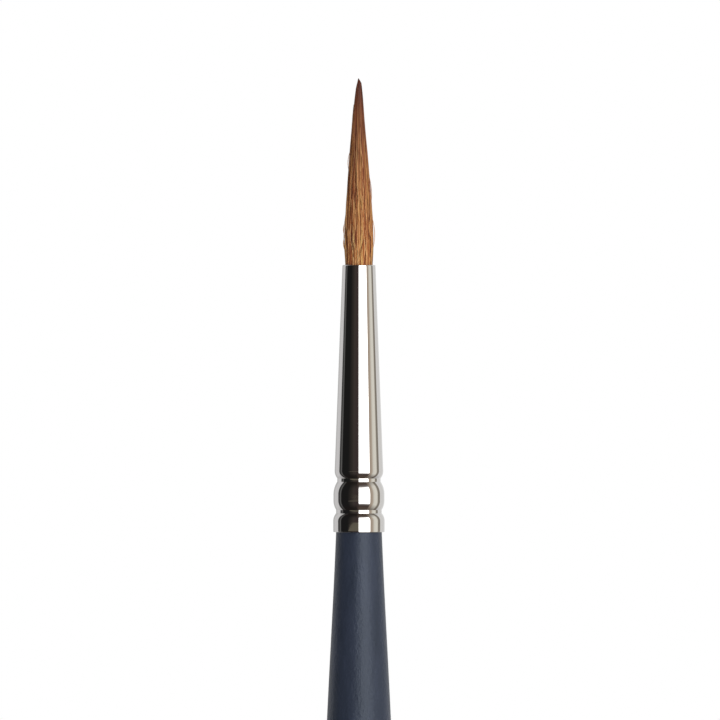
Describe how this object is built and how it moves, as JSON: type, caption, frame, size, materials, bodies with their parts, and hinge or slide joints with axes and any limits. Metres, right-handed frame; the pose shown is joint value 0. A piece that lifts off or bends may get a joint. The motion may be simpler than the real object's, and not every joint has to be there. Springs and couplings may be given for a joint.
{
  "type": "fine detail brush",
  "caption": "Pointed round detail brush with a long fine hair tuft, crimped tapered metal ferrule and matt lacquered wooden handle.",
  "frame": {"origin": "on the brush's axis at the middle of the handle's belly, where it is held", "axes": "+Z along the axis from the handle's tail to the tuft's point; X and Y are alike across it, and the tuft's bends are about Y, X, Y and X in turn"},
  "size_m": [0.0074, 0.0074, 0.1954],
  "materials": {
    "bare_wood": "turned birch, sanded, bare",
    "handle_lacquer": "matt blue-grey lacquer, smooth",
    "nickel_plate": "polished nickel plate on drawn brass",
    "adhesive": "cured wood adhesive",
    "thread": "plain cotton thread",
    "epoxy": "cast amber epoxy",
    "hair": "fine tapered sable-brown hair, soft sheen"
  },
  "bodies": {
    "handle": {"handle_wood": "bare_wood", "handle_lacquer": "handle_lacquer", "ferrule": "nickel_plate", "ferrule_glue": "adhesive", "tie_thread": "thread", "epoxy_plug": "epoxy", "tuft_base": "hair"},
    "belly": {"tuft_belly": "hair"},
    "waist": {"tuft_waist": "hair"},
    "taper": {"tuft_taper": "hair"},
    "point": {"tuft_point": "hair"}
  },
  "joints": [
    {"name": "belly_bend", "type": "hinge", "parent": "handle", "child": "belly", "pos_m": [0, 0, 0.0727], "axis": [0, 1, 0], "range_deg": [-25, 25], "stiffness_Nm_per_rad": 0.001},
    {"name": "waist_bend", "type": "hinge", "parent": "belly", "child": "waist", "pos_m": [0, 0, 0.0762], "axis": [1, 0, 0], "range_deg": [-30, 30], "stiffness_Nm_per_rad": 0.0007},
    {"name": "taper_bend", "type": "hinge", "parent": "waist", "child": "taper", "pos_m": [0, 0, 0.0802], "axis": [0, 1, 0], "range_deg": [-35, 35], "stiffness_Nm_per_rad": 0.0004},
    {"name": "point_bend", "type": "hinge", "parent": "taper", "child": "point", "pos_m": [0, 0, 0.0842], "axis": [1, 0, 0], "range_deg": [-35, 35], "stiffness_Nm_per_rad": 0.00015}
  ]
}
